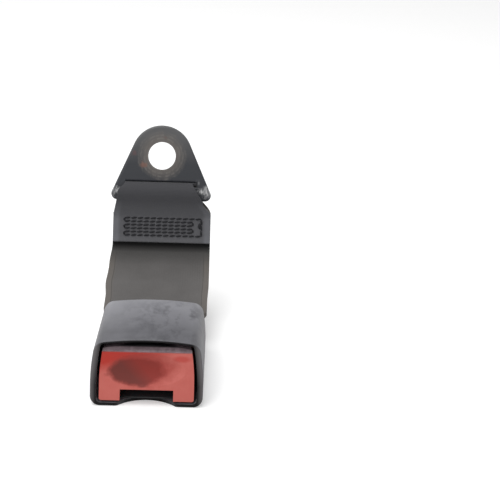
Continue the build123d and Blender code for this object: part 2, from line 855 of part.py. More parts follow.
turn_in = frame_loop - seat_gap
anchor_turn = anchor_loop - seat_gap
strip = [
    (upper_leg(tucked_end, layer), None),
    (bend_corner(layer), strap_bend_radius - layer),
    (lower_leg(frame_loop + flare_length, layer), flare_radius),
    (lower_leg(frame_loop / 2, frame_loop), flare_radius),
    (lower_leg(-frame_loop, frame_loop), turn_in),
    (lower_leg(-frame_loop, -frame_loop), turn_in),
    (lower_leg(frame_loop / 2, -frame_loop), flare_radius),
    (lower_leg(frame_loop + flare_length, -layer), flare_radius),
    (bend_corner(-layer), strap_bend_radius + layer),
    (upper_leg(anchor_loop + flare_length, -layer), flare_radius),
    (upper_leg(anchor_loop / 4, -anchor_loop), flare_radius),
    (upper_leg(-anchor_loop, -anchor_loop), anchor_turn),
    (upper_leg(-anchor_loop, anchor_loop), anchor_turn),
    (upper_leg(anchor_loop / 4, anchor_loop), flare_radius),
    (upper_leg(anchor_loop + flare_length, layer + layer_pitch), flare_radius),
    (upper_leg(free_end, layer + layer_pitch), None),
]


def gather(plane, start, inset):
    """Narrow the webbing towards a bar. The plane's Y runs from the bar along the webbing."""
    narrow_half = gathered_width / 2 - inset
    with BuildSketch(plane) as sides:
        with BuildLine():
            Polyline(
                (narrow_half, -housing_width),
                (narrow_half, start),
                (webbing_width / 2, start + gather_length),
                (housing_width, start + gather_length),
                (housing_width, -housing_width),
                close=True,
            )
        make_face()
        mirror(about=Plane.YZ)
    extrude(sides.sketch, amount=gather_depth, both=True, mode=Mode.SUBTRACT)


with BuildPart() as webbing:
    with BuildSketch(Plane.YZ):
        with BuildLine():
            FilletPolyline(*[point for point, radius in strip], radius=[radius for point, radius in strip[1:-1]])
        trace(line_width=webbing_thickness)
    extrude(amount=webbing_width / 2, both=True)
    gather(
        Plane(
            origin=(0, bar_y, strap_bar_z),
            x_dir=(1, 0, 0),
            z_dir=(0, -sin(exit_angle), cos(exit_angle)),
        ),
        gather_start,
        0,
    )
    gather(
        Plane(
            origin=(0, anchor_bar_y, anchor_bar_z),
            x_dir=(-1, 0, 0),
            z_dir=(0, -sin(rise_angle), cos(rise_angle)),
        ),
        -gather_start / 2,
        anchor_loop_inset,
    )
webbing.part.label = "webbing"

# Anchor plate: drawn about its bolt hole, leaning back from upright
plate_lean = radians(anchor_angle)
bolt_y = anchor_bar_y + bolt_to_bar * cos(plate_lean)
bolt_z = anchor_bar_z + bolt_to_bar * sin(plate_lean)
plate_plane = Plane(
    origin=(0, bolt_y, bolt_z), x_dir=(1, 0, 0), z_dir=(0, -sin(plate_lean), cos(plate_lean))
)
bar_bottom = bolt_to_bar + anchor_bar_height / 2
anchor_slot_height = webbing_thickness + 2 * slide_gap

with BuildPart() as anchor_plate:
    with BuildSketch(plate_plane):
        Circle(anchor_top_radius)
        corner_x = anchor_width / 2 - anchor_corner_radius
        corner_y = anchor_corner_radius - bar_bottom
        with Locations((corner_x, corner_y), (-corner_x, corner_y)):
            Circle(anchor_corner_radius)
        make_hull()
        Circle(bolt_hole_diameter / 2, mode=Mode.SUBTRACT)
        with Locations((0, anchor_slot_height / 2 + anchor_bar_height - bar_bottom)):
            Rectangle(gathered_width + 2 * slot_end_gap, anchor_slot_height, mode=Mode.SUBTRACT)
    extrude(amount=anchor_thickness / 2, both=True)
    bar_middle = Vector(0, anchor_bar_y, anchor_bar_z)
    bar_reach = anchor_bar_height / 2 + anchor_thickness
    lengthwise = anchor_plate.edges().filter_by(Axis.X)
    fillet(lengthwise.filter_by(lambda edge: (edge.center() - bar_middle).length < bar_reach), anchor_edge_radius)
anchor_plate.part.label = "anchor_plate"

os.makedirs("parts", exist_ok=True)
export_step(upper_cover.part, "parts/upper_cover.step")
export_step(lower_cover.part, "parts/lower_cover.step")
export_step(tongue_guide.part, "parts/tongue_guide.step")
export_step(buckle_frame.part, "parts/buckle_frame.step")
export_step(spring_bridge.part, "parts/spring_bridge.step")
export_step(latch.part, "parts/latch.step")
export_step(latch_pivot_pin.part, "parts/latch_pivot_pin.step")
for pivot_clip in pivot_clips:
    export_step(pivot_clip, "parts/" + pivot_clip.label + ".step")
export_step(latch_spring.part, "parts/latch_spring.step")
export_step(push_button.part, "parts/push_button.step")
export_step(release_pin.part, "parts/release_pin.step")
for button_spring in button_springs:
    export_step(button_spring, "parts/" + button_spring.label + ".step")
export_step(ejector.part, "parts/ejector.step")
export_step(ejector_spring.part, "parts/ejector_spring.step")
export_step(webbing.part, "parts/webbing.step")
export_step(anchor_plate.part, "parts/anchor_plate.step")
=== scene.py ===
from math import atan, cos, pi, radians, sin, tan

import bmesh
import bpy
from mathutils import Matrix, Vector


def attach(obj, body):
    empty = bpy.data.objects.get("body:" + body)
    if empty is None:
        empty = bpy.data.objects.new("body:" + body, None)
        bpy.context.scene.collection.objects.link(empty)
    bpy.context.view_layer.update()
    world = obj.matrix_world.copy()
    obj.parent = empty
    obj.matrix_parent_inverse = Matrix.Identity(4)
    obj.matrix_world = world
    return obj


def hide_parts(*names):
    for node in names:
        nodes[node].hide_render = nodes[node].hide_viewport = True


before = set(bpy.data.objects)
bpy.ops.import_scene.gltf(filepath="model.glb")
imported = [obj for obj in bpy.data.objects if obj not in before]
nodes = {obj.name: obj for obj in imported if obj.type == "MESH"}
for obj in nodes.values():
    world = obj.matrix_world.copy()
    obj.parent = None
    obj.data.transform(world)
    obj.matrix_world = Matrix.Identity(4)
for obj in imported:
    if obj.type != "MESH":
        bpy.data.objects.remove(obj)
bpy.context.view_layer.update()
MM = 0.001

# Camera: solved from the corners of the housing, the webbing's edges and the bolt hole
image_size = 500
sensor_width = 36.0
focal_pixels = 1300.0
look_down = radians(21.5)
turn = radians(-1.42)
roll = radians(2.06)
camera_place = Vector((28.5, -501.1, 255.8)) * MM

# Webbing, as it is bent in the CAD part
webbing_width = 46.5 * MM
webbing_thickness = 1.3 * MM
layer_pitch = 1.5 * MM
exit_angle = radians(12.6)
rise_angle = radians(67.5)
lower_run = 42.8 * MM
upper_run = 37.7 * MM
bend_radius = 18.0 * MM
frame_bar = Vector((0, 24.5, 10.0)) * MM
frame_loop = 3.45 * MM
anchor_loop = 4.66 * MM
flare_length = 6.5 * MM
flare_radius = 4.0 * MM
loop_ease = 0.05 * MM
tucked_end = 9.5 * MM
free_end = 23.3 * MM
end_lift = 0.5 * MM
end_lift_length = 3.0 * MM
end_lift_radius = 10.0 * MM
selvedge_radius = 0.4 * MM
webbing_step = 0.62 * MM
webbing_columns = 74

# Its edges: it is gathered at both bars, sags out on the left at the bend, and lies a little to the right
# above the bend
gathered_width = 33.0 * MM
slot_half = 17.0 * MM
gather_length = 10.5 * MM
gathered_past_frame_bar = 2.0 * MM
gathered_above_anchor_bar = 1.0 * MM
left_spread = 0.1 * MM
sag_out = 0.85 * MM
sag_along = 33.0 * MM
sag_reach = 12.0 * MM
left_drawn_in = 1.2 * MM
left_drawn_below = 34.0 * MM
left_drawn_over = 10.0 * MM
right_spread = 0.4 * MM
right_spread_from = 22.0 * MM
right_spread_over = 14.0 * MM

# Its sewn end spreads at once on the left, and on the right its edge springs out lower down: each step is
# how much wider it gets, from how far below the anchor's bar, and over what length
sewn_right_half = 14.6 * MM
sewn_left_steps = ((3.3, -4.4, 4.6), (1.7, 0.0, 12.0))
sewn_right_steps = ((3.0, -5.0, 6.5), (2.1, 0.0, 5.0), (4.0, 4.6, 5.6))
past_loop_top = 1.7 * MM

# Stitching: its rows are counted down from the anchor's bar, and it is longer on the right
stitch_rows = 6
stitch_top = 12.0 * MM
stitch_pitch = 1.62 * MM
stitch_left = -16.8 * MM
stitch_right = 15.4 * MM
stitch_far_right = 19.4 * MM
stitch_length = 2.8 * MM
stitch_gap = 0.2 * MM
stitch_slant = radians(7)
stitch_proud = 0.15 * MM
short_run_share = 0.9
thread_radius = 0.44 * MM
knot_radius = 0.8 * MM
knot_shape = (1.0, 1.8, 0.8)
knot_row = 2

# Anchor plate, about its bolt hole
plate_lean = radians(72.5)
bolt_to_bar = 17.6 * MM

# Button face
face_lean = atan(7.5 / 26.7)
dish_centre = Vector((0, -24.93, 14.5)) * MM
bevel_bottom = 21.4 * MM
bevel_edge = 0.1 * MM

# A wave texture at a scale of 1 repeats once in this length, and a noise texture about once in 1
wave_length = 0.31416


def linear(hex_colour):
    """An sRGB hex colour as the linear one that the shaders take."""
    values = [int(hex_colour[i : i + 2], 16) / 255 for i in (1, 3, 5)]
    return [v / 12.92 if v <= 0.04045 else ((v + 0.055) / 1.055) ** 2.4 for v in values] + [1.0]


def node(material, kind, sockets=(), out=0, **settings):
    """Add a shader node, with its settings and what goes into its sockets, and give back one output.

    A Map Range takes its value as socket 0, what that runs from and to as 1 and 2, and what they become as
    3 and 4. A Mix takes the share of its second colour as 0 and the two colours as 6 and 7.
    """
    tree = material.node_tree
    made = tree.nodes.new("ShaderNode" + kind)
    for name, value in settings.items():
        setattr(made, name, value)
    for name, value in dict(sockets).items():
        if isinstance(value, bpy.types.NodeSocket):
            tree.links.new(value, made.inputs[name])
        else:
            made.inputs[name].default_value = linear(value) if isinstance(value, str) else value
    return made.outputs if out is None else made.outputs[out]


def new_material(name):
    """A material with an empty tree, ready for its own nodes."""
    material = bpy.data.materials.new(name)
    material.use_nodes = True
    material.node_tree.nodes.clear()
    return material


def dress(name, material):
    """Give a CAD node its finish."""
    slots = nodes[name].data.materials
    slots.clear()
    slots.append(material)


# ---- Camera ----
sight = bpy.data.cameras.new("view_of_photo")
sight.sensor_width = sensor_width
sight.lens = focal_pixels * sensor_width / image_size
camera = bpy.data.objects.new("view_of_photo", sight)
bpy.context.scene.collection.objects.link(camera)
right = Vector((cos(turn), sin(turn), 0))
forward = Vector((-sin(turn) * cos(look_down), cos(turn) * cos(look_down), -sin(look_down)))
up = right.cross(forward)
image_right = right * cos(roll) + up * sin(roll)
image_up = up * cos(roll) - right * sin(roll)
axes = Matrix((image_right, image_up, -forward)).transposed()
camera.matrix_world = Matrix.Translation(camera_place) @ axes.to_4x4()
bpy.context.scene.camera = camera

# ---- Webbing ----
lower_way = Vector((0, cos(exit_angle), sin(exit_angle)))
lower_over = Vector((0, -sin(exit_angle), cos(exit_angle)))
upper_way = Vector((0, cos(rise_angle), sin(rise_angle)))
upper_front = Vector((0, -sin(rise_angle), cos(rise_angle)))
bend_point = frame_bar + lower_way * lower_run
anchor_bar = bend_point + upper_way * upper_run
half_turn = (rise_angle - exit_angle) / 2


def lower_leg(along, above):
    """A point of the lower leg, along it from the frame's bar and above its middle."""
    return frame_bar + lower_way * along + lower_over * above


def upper_leg(below, before):
    """A point of the upper leg, down it from the anchor's bar and before its middle."""
    return anchor_bar - upper_way * below + upper_front * before


def bend_corner(above):
    """The corner between the two legs for a layer that lies this far above their middle."""
    return lower_leg(lower_run - above * tan(half_turn), above)


def rounded_path(corners, step):
    """Points at about the given step along a path in the YZ plane whose corners are arcs."""
    points = []
    start = corners[0][0]
    for (before, _), (here, radius), (after, _) in zip(corners, corners[1:], corners[2:]):
        way_in = (here - before).normalized()
        way_out = (after - here).normalized()
        angle = way_in.angle(way_out)
        reach = radius * tan(angle / 2)
        begin = here - way_in * reach
        count = max(1, round((begin - start).length / step))
        points += [start.lerp(begin, i / count) for i in range(count)]
        side = (way_out - way_in * way_out.dot(way_in)).normalized()
        centre = begin + side * radius
        count = max(3, round(radius * angle / step))
        for i in range(count):
            part = angle * i / count
            points.append(centre - side * radius * cos(part) + way_in * radius * sin(part))
        start = here + way_out * reach
    end = corners[-1][0]
    count = max(1, round((end - start).length / step))
    points += [start.lerp(end, i / count) for i in range(count + 1)]
    return points


layer = layer_pitch / 2
strip = [
    (upper_leg(tucked_end, layer), 0),
    (bend_corner(layer), bend_radius - layer),
    (lower_leg(frame_loop + flare_length, layer), flare_radius),
    (lower_leg(frame_loop / 2, frame_loop), flare_radius),
    (lower_leg(-frame_loop, frame_loop), frame_loop - loop_ease),
    (lower_leg(-frame_loop, -frame_loop), frame_loop - loop_ease),
    (lower_leg(frame_loop / 2, -frame_loop), flare_radius),
    (lower_leg(frame_loop + flare_length, -layer), flare_radius),
    (bend_corner(-layer), bend_radius + layer),
    (upper_leg(anchor_loop + flare_length, -layer), flare_radius),
    (upper_leg(anchor_loop / 4, -anchor_loop), flare_radius),
    (upper_leg(-anchor_loop, -anchor_loop), anchor_loop - loop_ease),
    (upper_leg(-anchor_loop, anchor_loop), anchor_loop - loop_ease),
    (upper_leg(anchor_loop / 4, anchor_loop), flare_radius),
    (upper_leg(anchor_loop + flare_length, layer + layer_pitch), flare_radius),
    (upper_leg(free_end - end_lift_length, layer + layer_pitch), end_lift_radius),
    (upper_leg(free_end, layer + layer_pitch + end_lift), 0),
]


def ease(value):
    """A smooth step from 0 to 1."""
    value = min(1, max(0, value))
    return value * value * (3 - 2 * value)


def sewn_half_width(down, start, steps):
    """Half of the sewn end's width at a place below the anchor's bar."""
    for wider, begin, over in steps:
        start += wider * MM * ease((down - begin * MM) / (over * MM))
    return start


def half_width(point, side, outer):
    """How far the webbing reaches here on one side of its middle, in its sewn end or in the rest."""
    from_frame = (point - frame_bar).dot(lower_way)
    down = (anchor_bar - point).dot(upper_way)
    if outer:
        if side < 0:
            return sewn_half_width(down, slot_half, sewn_left_steps)
        return sewn_half_width(down, sewn_right_half, sewn_right_steps)
    if side < 0:
        from_sag = (point - lower_leg(sag_along, 0)).length
        straight = webbing_width / 2 + left_spread + sag_out * ease(1 - from_sag / sag_reach)
        straight -= left_drawn_in * ease((left_drawn_below - down) / left_drawn_over)
    else:
        straight = webbing_width / 2
        straight += right_spread * ease((from_frame - right_spread_from) / right_spread_over)
    at_frame = gathered_width / 2
    at_frame += (straight - at_frame) * ease((from_frame - gathered_past_frame_bar) / gather_length)
    at_anchor = slot_half
    at_anchor += (straight - at_anchor) * ease((down + gathered_above_anchor_bar) / gather_length)
    return min(at_frame, at_anchor)


line = rounded_path(strip, webbing_step)
walked = [0.0]
for before, here in zip(line, line[1:]):
    walked.append(walked[-1] + (here - before).length)
outer_from = walked[-1] - free_end - anchor_loop - past_loop_top

sheet = bmesh.new()
bmesh.ops.create_grid(sheet, x_segments=webbing_columns, y_segments=len(line) - 1, size=1.0)
chart = sheet.loops.layers.uv.new("weave")
place = {}
for vertex in sheet.verts:
    row = round((vertex.co.y + 1) / 2 * (len(line) - 1))
    across = vertex.co.x
    width = half_width(line[row], across, walked[row] > outer_from)
    place[vertex] = (across * webbing_width / 2, walked[row])
    vertex.co = line[row] + Vector((across * width, 0, 0))
for face in sheet.faces:
    for loop in face.loops:
        loop[chart].uv = place[loop.vert]
webbing_mesh = bpy.data.meshes.new("webbing_strap")
sheet.to_mesh(webbing_mesh)
sheet.free()
webbing_mesh.polygons.foreach_set("use_smooth", [True] * len(webbing_mesh.polygons))
webbing_strap = bpy.data.objects.new("webbing_strap", webbing_mesh)
bpy.context.scene.collection.objects.link(webbing_strap)
thick = webbing_strap.modifiers.new("thickness", "SOLIDIFY")
thick.thickness = webbing_thickness
thick.offset = 0
edge = webbing_strap.modifiers.new("rounded_edges", "BEVEL")
edge.width = selvedge_radius
edge.segments = 2
edge.limit_method = "ANGLE"
edge.angle_limit = radians(60)


# ---- Stitching: a zigzag of six rows that is closed on the right, seen on both sides ----
def stitch_path():
    """The corners of the sewn line, across and down from the anchor's bar."""
    rows = [stitch_top + i * stitch_pitch for i in range(stitch_rows)]
    ends = [stitch_far_right, stitch_left, stitch_left, stitch_right, stitch_right, stitch_left]
    ends += [stitch_left, stitch_right, stitch_right, stitch_left, stitch_left, stitch_far_right]
    corners = [(x, rows[i // 2]) for i, x in enumerate(ends)]
    return corners + corners[:1]


def sew(name, before):
    """Lay the thread's visible stitches on a face of the webbing, and tie it off in a knot."""
    thread = bmesh.new()
    corners = stitch_path()
    for (x_from, d_from), (x_to, d_to) in zip(corners, corners[1:]):
        run = max(abs(x_to - x_from), abs(d_to - d_from))
        count = max(1, round(run / (stitch_length + stitch_gap)))
        along = (Vector((x_to - x_from, 0, 0)) - upper_way * (d_to - d_from)).normalized()
        for i in range(count):
            middle = (i + 0.5) / count
            x = x_from + (x_to - x_from) * middle
            down = d_from + (d_to - d_from) * middle
            made = bmesh.ops.create_icosphere(thread, subdivisions=2, radius=thread_radius)["verts"]
            stretch = min(stitch_length, run * short_run_share) / 2 / thread_radius
            bmesh.ops.scale(thread, vec=(stretch, 1, 1), verts=made)
            slant = Matrix.Rotation(stitch_slant, 4, "Z")
            turned = Matrix((along, upper_front.cross(along), upper_front)).transposed().to_4x4()
            where = upper_leg(down, before) + Vector((x, 0, 0))
            bmesh.ops.transform(thread, matrix=Matrix.Translation(where) @ turned @ slant, verts=made)
    made = bmesh.ops.create_icosphere(thread, subdivisions=2, radius=knot_radius)["verts"]
    bmesh.ops.scale(thread, vec=knot_shape, verts=made)
    where = upper_leg(stitch_top + knot_row * stitch_pitch, before)
    where += Vector((stitch_far_right - knot_radius, 0, 0))
    turned = Matrix((Vector((1, 0, 0)), upper_way, upper_front)).transposed().to_4x4()
    bmesh.ops.transform(thread, matrix=Matrix.Translation(where) @ turned, verts=made)
    bmesh.ops.recalc_face_normals(thread, faces=thread.faces)
    mesh = bpy.data.meshes.new(name)
    thread.to_mesh(mesh)
    thread.free()
    mesh.polygons.foreach_set("use_smooth", [True] * len(mesh.polygons))
    stitches = bpy.data.objects.new(name, mesh)
    bpy.context.scene.collection.objects.link(stitches)
    return stitches


front_face = layer + layer_pitch + webbing_thickness / 2
back_face = -layer - webbing_thickness / 2
stitching_front = sew("stitching_front", front_face + stitch_proud)
stitching_back = sew("stitching_back", back_face - stitch_proud)

# ---- Materials ----
# Nylon, injection moulded with a fine grain that is drawn coarser so that it shows: painted shade on the faces
# that look to the front, darkest on the rim next to the button, painted light on the sides and painted shade on
# the crown's shoulders, paler on top towards the rear with dust and painted top light, and dark rubbed smears
# on the right
scuff_size = 8.333 * MM
smear_size = 5.263 * MM
moulded_grain = 0.5263 * MM
dust_and_light_y = -12 * MM, 28 * MM
smear_x = -16 * MM, 12 * MM
clean_dust_y = 10 * MM, 26 * MM
# where the front rim's painted shade lies: how far it leans in with height, and its inner and outer edges
rim_lean_z = 8.5 * MM, 24.5 * MM
rim_lean = 2.2 * MM
rim_shade_x = 20.9 * MM, 23.1 * MM
cover = new_material("nylon_moulded_cover")
reading = node(cover, "TexCoord", out=None)
place_on = reading["Object"]
facing = node(cover, "SeparateXYZ", {0: reading["Normal"]}, None)
spot = node(cover, "SeparateXYZ", {0: place_on}, None)
scuff = node(cover, "TexNoise", {"Vector": place_on, "Scale": 1 / scuff_size, "Detail": 6.0, "Roughness": 0.62})
scuffed = node(cover, "MapRange", {0: scuff, 1: 0.35, 2: 0.7})
tone = node(cover, "Mix", {0: scuffed, 6: "#4c4c51", 7: "#5e5e63"}, 2, data_type="RGBA")
# painted shade on the crown's shoulders, where the top turns down to the sides, and painted light on the side
# faces
sideways = node(cover, "Math", {0: facing[0]}, operation="ABSOLUTE")
shoulder_shade = node(cover, "MapRange", {0: sideways, 1: 0.04, 2: 0.3, 4: 0.7})
tone = node(cover, "Mix", {0: shoulder_shade, 6: tone, 7: "#46464b"}, 2, data_type="RGBA")
flank_light = node(cover, "MapRange", {0: sideways, 1: 0.5, 2: 0.95, 4: 0.6})
tone = node(cover, "Mix", {0: flank_light, 6: tone, 7: "#7f7e81"}, 2, data_type="RGBA")
# paler on upward faces towards the rear: dust, with painted top light mixed in
rearward = node(cover, "MapRange", {0: spot[1], 1: dust_and_light_y[0], 2: dust_and_light_y[1]})
upward = node(cover, "MapRange", {0: facing[2], 1: 0.3, 2: 0.9})
dust_and_top_light = node(cover, "Math", {0: rearward, 1: upward}, operation="MULTIPLY")
tone = node(cover, "Mix", {0: dust_and_top_light, 6: tone, 7: "#88888d"}, 2, data_type="RGBA")
drawn_out = node(cover, "Mapping", {"Vector": place_on, "Scale": (1.0, 0.45, 1.0)})
smear = node(cover, "TexNoise", {"Vector": drawn_out, "Scale": 1 / smear_size, "Detail": 6.0, "Roughness": 0.65})
smear = node(cover, "MapRange", {0: smear, 1: 0.47, 2: 0.62})
handled = node(cover, "MapRange", {0: spot[0], 1: smear_x[0], 2: smear_x[1], 3: 0.1, 4: 0.75})
handled = node(cover, "Math", {0: handled, 1: smear}, operation="MULTIPLY")
handled = node(cover, "Math", {0: handled, 1: upward}, operation="MULTIPLY")
kept_dusty = node(cover, "MapRange", {0: spot[1], 1: clean_dust_y[0], 2: clean_dust_y[1], 3: 1.0, 4: 0.25})
handled = node(cover, "Math", {0: handled, 1: kept_dusty}, operation="MULTIPLY")
tone = node(cover, "Mix", {0: handled, 6: tone, 7: "#38383d"}, 2, data_type="RGBA")
# painted shade: faces that look to the front are darkened and given less shine; across the rim it deepens to near
# black next to the button, with a painted highlight at its outer edge
front_facing_shade = node(cover, "MapRange", {0: facing[1], 1: -0.5, 2: -0.93})
outward = node(cover, "Math", {0: spot[0]}, operation="ABSOLUTE")
leaned = node(cover, "MapRange", {0: spot[2], 1: rim_lean_z[0], 2: rim_lean_z[1], 4: rim_lean})
outward = node(cover, "Math", {0: outward, 1: leaned}, operation="ADD")
outward = node(cover, "MapRange", {0: outward, 1: rim_shade_x[0], 2: rim_shade_x[1]})
rim_shade = node(cover, "Mix", {0: outward, 6: "#191819", 7: "#686566"}, 2, data_type="RGBA")
tone = node(cover, "Mix", {0: front_facing_shade, 6: tone, 7: rim_shade}, 2, data_type="RGBA")
gloss = node(cover, "MapRange", {0: front_facing_shade, 3: 0.5, 4: 0.08})
grain = node(cover, "TexNoise", {"Vector": place_on, "Scale": 1 / moulded_grain, "Detail": 2.0})
relief = node(cover, "Bump", {"Height": grain, "Strength": 0.25, "Distance": 0.12 * MM})
dull = node(cover, "MapRange", {0: scuff, 1: 0.3, 2: 0.7, 3: 0.48, 4: 0.62})
shader = node(
    cover,
    "BsdfPrincipled",
    {"Base Color": tone, "Roughness": dull, "Specular IOR Level": gloss, "Normal": relief, "IOR": 1.53},
)
node(cover, "OutputMaterial", {"Surface": shader}, None)

# Acetal, moulded in black: satin, with faint patches where the tongue and the springs rub
rubbed_size = 3.333 * MM
acetal = new_material("acetal_black")
place_on = node(acetal, "TexCoord", out="Object")
wear = node(acetal, "TexNoise", {"Vector": place_on, "Scale": 1 / rubbed_size, "Detail": 4.0})
dull = node(acetal, "MapRange", {0: wear, 3: 0.35, 4: 0.55})
tone = node(acetal, "Mix", {0: wear, 6: "#161719", 7: "#222325"}, 2, data_type="RGBA")
shader = node(acetal, "BsdfPrincipled", {"Base Color": tone, "Roughness": dull, "IOR": 1.48})
node(acetal, "OutputMaterial", {"Surface": shader}, None)

# ABS, moulded in red and rubbed dull by thumbs: clean red at the upper left, brown grime in the dish, greyer on
# the bevel, and a black band of painted shade along its upper edge, where the gap under the roof is in shadow
mottle_size = 3.846 * MM
speckle_size = 2.778 * MM
clean_from = 5.5 * MM, 10.5 * MM
lower_left_from = -1 * MM, -9 * MM
top_edge_shade = 1.2 * MM, 1.6 * MM
button = new_material("abs_red_button")
place_on = node(button, "TexCoord", out="Object")
on_face = node(
    button,
    "Mapping",
    {"Vector": place_on, "Location": dish_centre, "Rotation": (pi / 2 - face_lean, 0, 0)},
    vector_type="TEXTURE",
)
across, up_face, _ = node(button, "SeparateXYZ", {0: on_face}, None)
mottle = node(button, "TexNoise", {"Vector": place_on, "Scale": 1 / mottle_size, "Detail": 5.0, "Roughness": 0.6})
tone = node(button, "Mix", {0: mottle, 6: "#b9574e", 7: "#c56a61"}, 2, data_type="RGBA")
clean = node(button, "Math", {0: across, 1: -0.28, 2: up_face}, operation="MULTIPLY_ADD")
clean = node(button, "Math", {0: mottle, 1: 5 * MM, 2: clean}, operation="MULTIPLY_ADD")
clean = node(button, "MapRange", {0: clean, 1: clean_from[0], 2: clean_from[1]})
tone = node(button, "Mix", {0: clean, 6: tone, 7: "#ac2c20"}, 2, data_type="RGBA")
# each spot is an ellipse: how far it is moved in its own radii, the radii in millimetres, where it starts
# and where it is full in those radii, and how strong it is
for moved, reach, far, close, most, colour in (
    ((-4.18, -3.83, 0), (3.4, 1.2), 1.6, 0.9, 0.6, "#b0322b"),
    ((0.12, -0.05, 0), (12.5, 6.8), 1.55, 1.0, 0.75, "#983129"),
    ((0.9, 5.7, 0), (2.2, 1.1), 1.6, 0.9, 0.85, "#6c2a24"),
    ((0.36, 0.16, 0), (11.2, 5.4), 1.4, 1.12, 0.9, "#82241b"),
):
    scale = (1 / reach[0] / MM, 1 / reach[1] / MM, 0)
    squeezed = node(button, "Mapping", {"Vector": on_face, "Location": moved, "Scale": scale})
    from_middle = node(button, "VectorMath", {0: squeezed}, "Value", operation="LENGTH")
    ragged = node(button, "Math", {0: mottle, 1: 0.5, 2: from_middle}, operation="MULTIPLY_ADD")
    grime = node(button, "MapRange", {0: ragged, 1: far, 2: close, 4: most})
    tone = node(button, "Mix", {0: grime, 6: tone, 7: colour}, 2, data_type="RGBA")
lower_left = node(button, "Math", {0: across, 1: up_face}, operation="ADD")
lower_left = node(button, "MapRange", {0: lower_left, 1: lower_left_from[0], 2: lower_left_from[1], 4: 0.85})
caked = node(button, "Math", {0: grime, 1: lower_left}, operation="MULTIPLY")
tone = node(button, "Mix", {0: caked, 6: tone, 7: "#5f2a24"}, 2, data_type="RGBA")
height = node(button, "SeparateXYZ", {0: place_on}, 2)
on_bevel = node(button, "MapRange", {0: height, 1: bevel_bottom - bevel_edge, 2: bevel_bottom + bevel_edge})
speckle = node(
    button, "TexNoise", {"Vector": place_on, "Scale": 1 / speckle_size, "Detail": 4.0, "Roughness": 0.6}
)
speckled = node(button, "MapRange", {0: speckle, 1: 0.38, 2: 0.64})
bevel = node(button, "Mix", {0: speckled, 6: "#74656a", 7: "#8f7e83"}, 2, data_type="RGBA")
tone = node(button, "Mix", {0: on_bevel, 6: tone, 7: bevel}, 2, data_type="RGBA")
# painted shade: the bevel's uppermost band is black, standing in for the shadowed gap under the roof
gap_shade = node(button, "MapRange", {0: height, 1: bevel_bottom + top_edge_shade[0], 2: bevel_bottom + top_edge_shade[1]})
tone = node(button, "Mix", {0: gap_shade, 6: tone, 7: "#171517"}, 2, data_type="RGBA")
dull = node(button, "MapRange", {0: mottle, 3: 0.38, 4: 0.55})
shader = node(
    button, "BsdfPrincipled", {"Base Color": tone, "Roughness": dull, "Specular IOR Level": 0.3, "IOR": 1.53}
)
node(button, "OutputMaterial", {"Surface": shader}, None)

# Polyester webbing, woven in a twill with plain selvedges: its fine ribs are drawn twice as coarse so that
# they show, a shadow is painted under the sewn end, and the sewn end itself is greyer and dark at the loop
rib_spacing = 1.1 * MM
twill_spacing = 0.6 * MM
soil_size = 14.286 * MM
selvedge_from = 19.6 * MM, 21.2 * MM
seam_at = 20.6 * MM
seam_half = 0.2 * MM
shade_below = 3.5 * MM, 11 * MM
shadow_below_end = 1.2 * MM, 4.6 * MM
paler_past_loop = 10 * MM, 20 * MM
tone_blend = 4 * MM
weave = new_material("polyester_webbing")
chart_at = node(weave, "UVMap", uv_map="weave")
ribs = node(weave, "TexWave", {"Vector": chart_at, "Scale": wave_length / rib_spacing}, 1, bands_direction="X")
twill = node(
    weave, "TexWave", {"Vector": chart_at, "Scale": wave_length / twill_spacing}, 1, bands_direction="Y"
)
cloth = node(weave, "Math", {0: ribs, 1: 0.8, 2: twill}, operation="MULTIPLY_ADD")
across, along, _ = node(weave, "SeparateXYZ", {0: chart_at}, None)
from_middle = node(weave, "Math", {0: across}, operation="ABSOLUTE")
soil = node(weave, "TexNoise", {"Vector": chart_at, "Scale": 1 / soil_size, "Detail": 5.0})
tone = node(weave, "Mix", {0: soil, 6: "#504e4d", 7: "#656362"}, 2, data_type="RGBA")
selvedge = node(weave, "MapRange", {0: from_middle, 1: selvedge_from[0], 2: selvedge_from[1], 4: 0.5})
tone = node(weave, "Mix", {0: selvedge, 6: tone, 7: "#69635d"}, 2, data_type="RGBA")
seam = node(weave, "Math", {0: from_middle, 1: seam_at, 2: seam_half}, operation="COMPARE")
seam = node(weave, "Math", {0: seam, 1: 0.4}, operation="MULTIPLY")
tone = node(weave, "Mix", {0: seam, 6: tone, 7: "#333232"}, 2, data_type="RGBA")
# painted shadow under the sewn end: black just below its edge, then a milder painted shade that fades out further
# down
below_end = node(weave, "Math", {0: along, 1: free_end - tucked_end}, operation="SUBTRACT")
shaded = node(weave, "MapRange", {0: below_end, 1: shade_below[0], 2: shade_below[1]})
tone = node(weave, "Mix", {0: shaded, 6: "#4a4948", 7: tone}, 2, data_type="RGBA")
shadow_under_end = node(weave, "MapRange", {0: below_end, 1: shadow_below_end[0], 2: shadow_below_end[1]})
tone = node(weave, "Mix", {0: shadow_under_end, 6: "#030303", 7: tone}, 2, data_type="RGBA")
past_loop = [outer_from + distance for distance in paler_past_loop]
up_loop = node(weave, "MapRange", {0: along, 1: past_loop[0], 2: past_loop[1]})
sewn = node(weave, "Mix", {0: up_loop, 6: "#3f3f42", 7: "#555558"}, 2, data_type="RGBA")
worn_edge = node(weave, "Math", {0: selvedge, 1: up_loop}, operation="MULTIPLY")
sewn = node(weave, "Mix", {0: worn_edge, 6: sewn, 7: "#717277"}, 2, data_type="RGBA")
aged = node(weave, "MapRange", {0: along, 1: outer_from - tone_blend, 2: outer_from})
tone = node(weave, "Mix", {0: aged, 6: tone, 7: sewn}, 2, data_type="RGBA")
relief = node(weave, "Bump", {"Height": cloth, "Strength": 0.2, "Distance": 0.2 * MM})
